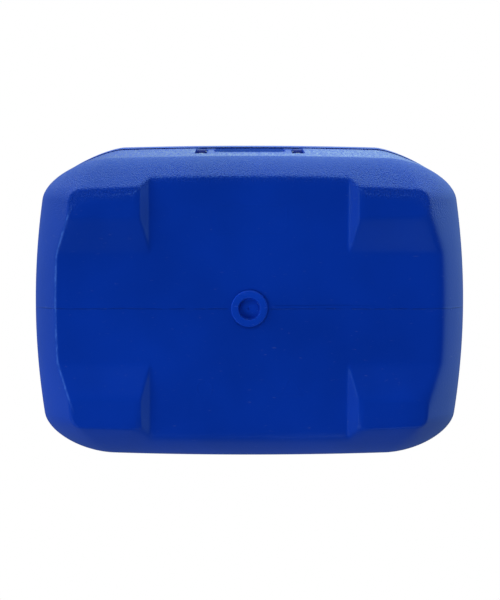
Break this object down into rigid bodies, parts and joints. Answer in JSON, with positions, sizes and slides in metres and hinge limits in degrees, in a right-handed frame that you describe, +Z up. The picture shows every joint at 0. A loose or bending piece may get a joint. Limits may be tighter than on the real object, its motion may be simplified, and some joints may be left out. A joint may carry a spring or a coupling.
{
  "type": "washer toss box",
  "caption": "Plastic washer toss box: flared tub with moulded feet, drop-in play tray with felt mat and target cup, folding carry handle, end clip and keeper.",
  "frame": {"origin": "middle of the box's footprint, on the plane its feet stand on", "axes": "+X along the length towards the end with the clip, +Y towards the wall without the handle, +Z up"},
  "size_m": [0.4056, 0.2932, 0.1338],
  "materials": {
    "shell_plastic": "smooth satin base, fine pebble grain on chin and walls",
    "plug_plastic": "satin",
    "tray_plastic": "satin",
    "foam": "bead foam",
    "felt": "needle felt",
    "cup_plastic": "satin",
    "ring_plastic": "satin",
    "handle_plastic": "fine grain",
    "bracket_plastic": "fine grain",
    "clip_plastic": "satin",
    "steel": "zinc plated",
    "brass": "turned"
  },
  "bodies": {
    "box": {"outer_shell": "shell_plastic", "base_plug": "plug_plastic", "inner_tray": "tray_plastic", "foam_core": "foam", "play_mat": "felt", "target_cup": "cup_plastic", "cup_ring": "ring_plastic", "cup_insert": "brass", "cup_washer": "steel", "cup_screw": "steel", "handle_bracket_left": "bracket_plastic", "handle_bracket_right": "bracket_plastic", "handle_pin_left": "steel", "handle_pin_right": "steel", "handle_screw_left": "steel", "handle_screw_right": "steel", "latch_bracket_front": "bracket_plastic", "latch_bracket_rear": "bracket_plastic", "latch_pin": "steel", "latch_screw_front": "steel", "latch_screw_rear": "steel", "keeper": "bracket_plastic", "keeper_screw_front": "steel", "keeper_screw_rear": "steel"},
    "handle": {"carry_handle": "handle_plastic"},
    "clip": {"latch_clip": "clip_plastic"}
  },
  "joints": [
    {"name": "handle_swing", "type": "hinge", "parent": "box", "child": "handle", "pos_m": [0, -0.1394, 0.116], "axis": [-1, 0, 0], "range_deg": [0, 90]},
    {"name": "clip_swing", "type": "hinge", "parent": "box", "child": "clip", "pos_m": [0.1905, 0, 0.115], "axis": [0, -1, 0], "range_deg": [0, 180]}
  ]
}
